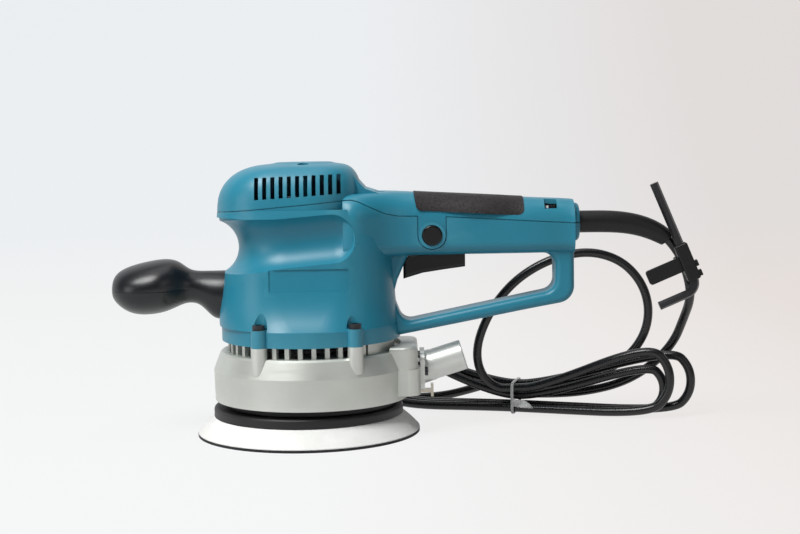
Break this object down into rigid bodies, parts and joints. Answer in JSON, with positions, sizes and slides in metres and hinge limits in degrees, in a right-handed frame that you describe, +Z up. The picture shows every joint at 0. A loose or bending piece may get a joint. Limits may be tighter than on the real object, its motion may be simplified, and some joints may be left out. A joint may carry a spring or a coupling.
{
  "type": "orbital sander",
  "caption": "Corded orbital sander with a round foam pad, cast base, teal motor housing with a D-handle, trigger, speed dial, front grip, dust nozzle and tied cord.",
  "frame": {"origin": "centre of the pad's working face", "axes": "+Z up from the work, along the motor axis; +X from the front grip towards the D-handle; +Y to the side away from the lock button"},
  "size_m": [0.3967, 0.2005, 0.1822],
  "materials": {
    "teal_plastic": "injection moulded glass filled nylon, fine texture",
    "silver_casting": "die cast and painted silver, satin",
    "nozzle_alloy": "cast and brushed",
    "black_plastic": "moulded, matt",
    "gloss_black": "moulded, glossy",
    "grip_rubber": "moulded soft rubber, textured",
    "cord_rubber": "extruded rubber sheath, satin",
    "pad_foam": "cast open cell polyurethane foam",
    "hook_face": "woven hook face",
    "pad_plate": "moulded glass filled nylon",
    "bright_steel": "ground or turned steel",
    "black_steel": "black oxide steel",
    "plated_steel": "zinc plated pressed steel",
    "laminations": "stacked silicon steel sheets",
    "copper_wire": "varnished copper winding",
    "brass": "pressed brass",
    "carbon": "sintered carbon",
    "white_nylon": "moulded nylon"
  },
  "bodies": {
    "housing": {"motor_housing": "teal_plastic", "top_cover": "teal_plastic", "handle_inlay": "grip_rubber", "front_grip": "black_plastic", "grip_stud": "bright_steel", "grip_nut": "bright_steel", "base_housing": "silver_casting", "base_screws": "black_steel", "dust_seal": "grip_rubber", "dust_nozzle": "nozzle_alloy", "nozzle_screws": "black_steel", "lever_screw": "black_steel", "lower_bearing": "bright_steel", "upper_bearing": "bright_steel", "bearing_retainer": "bright_steel", "retainer_screws": "black_steel", "fan_baffle": "black_plastic", "stator_core": "laminations", "field_coils": "copper_wire", "brush_bridge": "black_plastic", "brush_holders": "brass", "carbon_brushes": "carbon", "brush_springs": "bright_steel", "trigger_pin": "bright_steel", "switch_body": "black_plastic", "speed_controller": "black_plastic", "cord_clamp": "black_plastic", "clamp_screws": "black_steel", "cover_screws": "black_steel", "cord_inner": "cord_rubber", "cord_guard": "grip_rubber", "cord_lead": "cord_rubber", "cord_hank": "cord_rubber", "cord_loop": "cord_rubber", "cord_tail": "cord_rubber", "cord_tie": "white_nylon", "hex_key": "black_steel", "key_holder": "grip_rubber", "plug_body": "black_plastic", "plug_pins": "brass"},
    "rotor": {"motor_shaft": "bright_steel", "armature_core": "laminations", "armature_windings": "copper_wire", "commutator": "copper_wire", "cooling_fan": "black_plastic", "eccentric_hub": "bright_steel", "pad_bearing": "bright_steel"},
    "pad": {"pad_face": "hook_face", "pad_foam": "pad_foam", "pad_backing": "pad_plate", "pad_spindle": "bright_steel", "pad_washer": "bright_steel", "pad_bolt": "black_steel"},
    "trigger": {"trigger": "black_plastic"},
    "lock_button": {"lock_button": "gloss_black"},
    "speed_dial": {"speed_dial": "black_plastic"},
    "mode_lever": {"mode_lever": "plated_steel"}
  },
  "joints": [
    {"name": "spindle_spin", "type": "hinge", "parent": "housing", "child": "rotor", "pos_m": [0.00275, 0, 0.06], "axis": [0, 0, 1], "continuous": true},
    {"name": "pad_spin", "type": "hinge", "parent": "rotor", "child": "pad", "pos_m": [0, 0, 0.02], "axis": [0, 0, 1], "continuous": true},
    {"name": "trigger_pull", "type": "hinge", "parent": "housing", "child": "trigger", "pos_m": [0.10175, 0, 0.1235], "axis": [0, 1, 0], "range_deg": [0, 7], "stiffness_Nm_per_rad": 0.6, "springref_deg": -8.59},
    {"name": "lock_button_press", "type": "slide", "parent": "housing", "child": "lock_button", "axis": [0, 1, 0], "range_m": [0, 0.003], "stiffness_N_per_m": 600, "springref_m": -0.002},
    {"name": "dial_turn", "type": "hinge", "parent": "housing", "child": "speed_dial", "pos_m": [0.16395, 0, 0.149], "axis": [0, 0, 1], "range_deg": [0, 270]},
    {"name": "mode_lever_swing", "type": "hinge", "parent": "housing", "child": "mode_lever", "pos_m": [0.07335, 0, 0.0264], "axis": [0, 0, 1], "range_deg": [-20, 20]}
  ]
}
